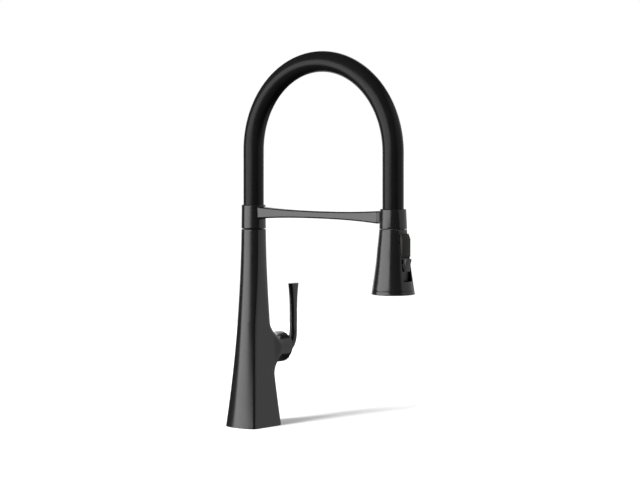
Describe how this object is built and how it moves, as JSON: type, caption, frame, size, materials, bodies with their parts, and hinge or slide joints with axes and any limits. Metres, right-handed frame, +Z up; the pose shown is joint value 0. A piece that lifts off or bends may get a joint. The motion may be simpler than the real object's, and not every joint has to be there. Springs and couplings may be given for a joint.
{
  "type": "pull-off kitchen faucet",
  "caption": "Single-hole kitchen faucet with flared body, side lever, docking arm and a spray head on an arched hose.",
  "frame": {"origin": "centre of the base's underside on the deck, on the axis that the spout turns on", "axes": "+Z up along the spout's axis; -Y is the side that the spray head hangs on; +X is the side of the handle"},
  "size_m": [0.1352, 0.3074, 0.5336],
  "materials": {
    "black_metal": "matte black powder-like coat on cast brass and zinc",
    "hose_rubber": "smooth matte black silicone sleeve",
    "seal_rubber": "black sealing rubber",
    "black_plastic": "fine-textured black moulding",
    "button_plastic": "soft-touch warm black",
    "valve_plastic": "moulded acetal",
    "brass": "turned brass",
    "copper_tube": "drawn copper tube",
    "steel": "stainless steel",
    "ceramic_disc": "lapped alumina",
    "water_hose": "grey drinking-water hose"
  },
  "bodies": {
    "fixed": {"body_shell": "black_metal", "base_plate": "brass", "base_screws": "steel", "base_gasket": "seal_rubber", "valve_block": "brass", "hot_supply_tube": "copper_tube", "cold_supply_tube": "copper_tube", "outlet_tube": "copper_tube", "cartridge_base": "valve_plastic", "cartridge_seals": "seal_rubber", "fixed_disc": "ceramic_disc", "cartridge_housing": "valve_plastic", "bonnet_nut": "brass", "swivel_spigot": "brass", "swivel_bushes": "valve_plastic", "swivel_seals": "seal_rubber"},
    "temperature": {"stem_carrier": "valve_plastic", "stem_pin": "steel"},
    "handle": {"lever_stem": "brass", "handle_lever": "black_metal", "handle_screw": "steel", "screw_plug": "black_plastic"},
    "flow_disc": {"disc_carrier": "valve_plastic", "moving_disc": "ceramic_disc"},
    "spout": {"docking_arm": "black_metal", "dock_magnet": "steel", "dock_pad": "black_plastic", "hub_core": "brass", "hub_screw": "steel", "rear_ferrule": "brass", "hose_sleeve_rear": "hose_rubber", "hose_core_rear": "steel", "water_hose_rear": "water_hose"},
    "head": {"hose_sleeve_front": "hose_rubber", "hose_core_front": "steel", "water_hose_front": "water_hose", "dock_collar": "black_metal", "striker_ring": "steel", "front_ferrule": "brass", "head_seals": "seal_rubber", "swivel_clip": "steel"},
    "spray": {"spray_shell": "black_metal", "spray_core": "valve_plastic", "swivel_bush": "valve_plastic", "panel_insert": "black_plastic", "button_spring": "steel", "toggle_pin": "steel", "face_ring": "black_metal", "spray_face": "black_plastic", "spray_nozzles": "seal_rubber", "aerator": "valve_plastic"},
    "button": {"spray_button": "button_plastic", "button_plunger": "valve_plastic"},
    "toggle": {"mode_toggle": "black_plastic", "mode_valve": "valve_plastic"}
  },
  "joints": [
    {"name": "spout_swivel", "type": "hinge", "parent": "fixed", "child": "spout", "pos_m": [0, 0, 0.3], "axis": [0, 0, 1], "continuous": true},
    {"name": "head_pull", "type": "hinge", "parent": "spout", "child": "head", "pos_m": [0, -0.125, 0.5336], "axis": [-1, 0, 0], "range_deg": [0, 28]},
    {"name": "head_turn", "type": "hinge", "parent": "head", "child": "spray", "pos_m": [0, -0.25, 0.28], "axis": [0, 0, 1], "continuous": true},
    {"name": "button_press", "type": "slide", "parent": "spray", "child": "button", "axis": [0, 1, 0], "range_m": [0, 0.0016], "stiffness_N_per_m": 600, "deforming": ["button_spring"]},
    {"name": "toggle_rock", "type": "hinge", "parent": "spray", "child": "toggle", "pos_m": [0, -0.2718, 0.24], "axis": [-1, 0, 0], "range_deg": [0, 12]},
    {"name": "temperature_turn", "type": "hinge", "parent": "fixed", "child": "temperature", "pos_m": [0.058, 0, 0.109], "axis": [1, 0, 0], "range_deg": [-45, 45]},
    {"name": "flow_lift", "type": "hinge", "parent": "temperature", "child": "handle", "pos_m": [0.058, 0, 0.109], "axis": [0, 1, 0], "range_deg": [0, 20]},
    {"name": "disc_slide", "type": "slide", "parent": "temperature", "child": "flow_disc", "axis": [0, 0, 1], "range_m": [-0.0045, 0.0045]}
  ],
  "couplings": [
    {"joint": "disc_slide", "follows": "flow_lift", "m_per_rad": 0.0118}
  ]
}
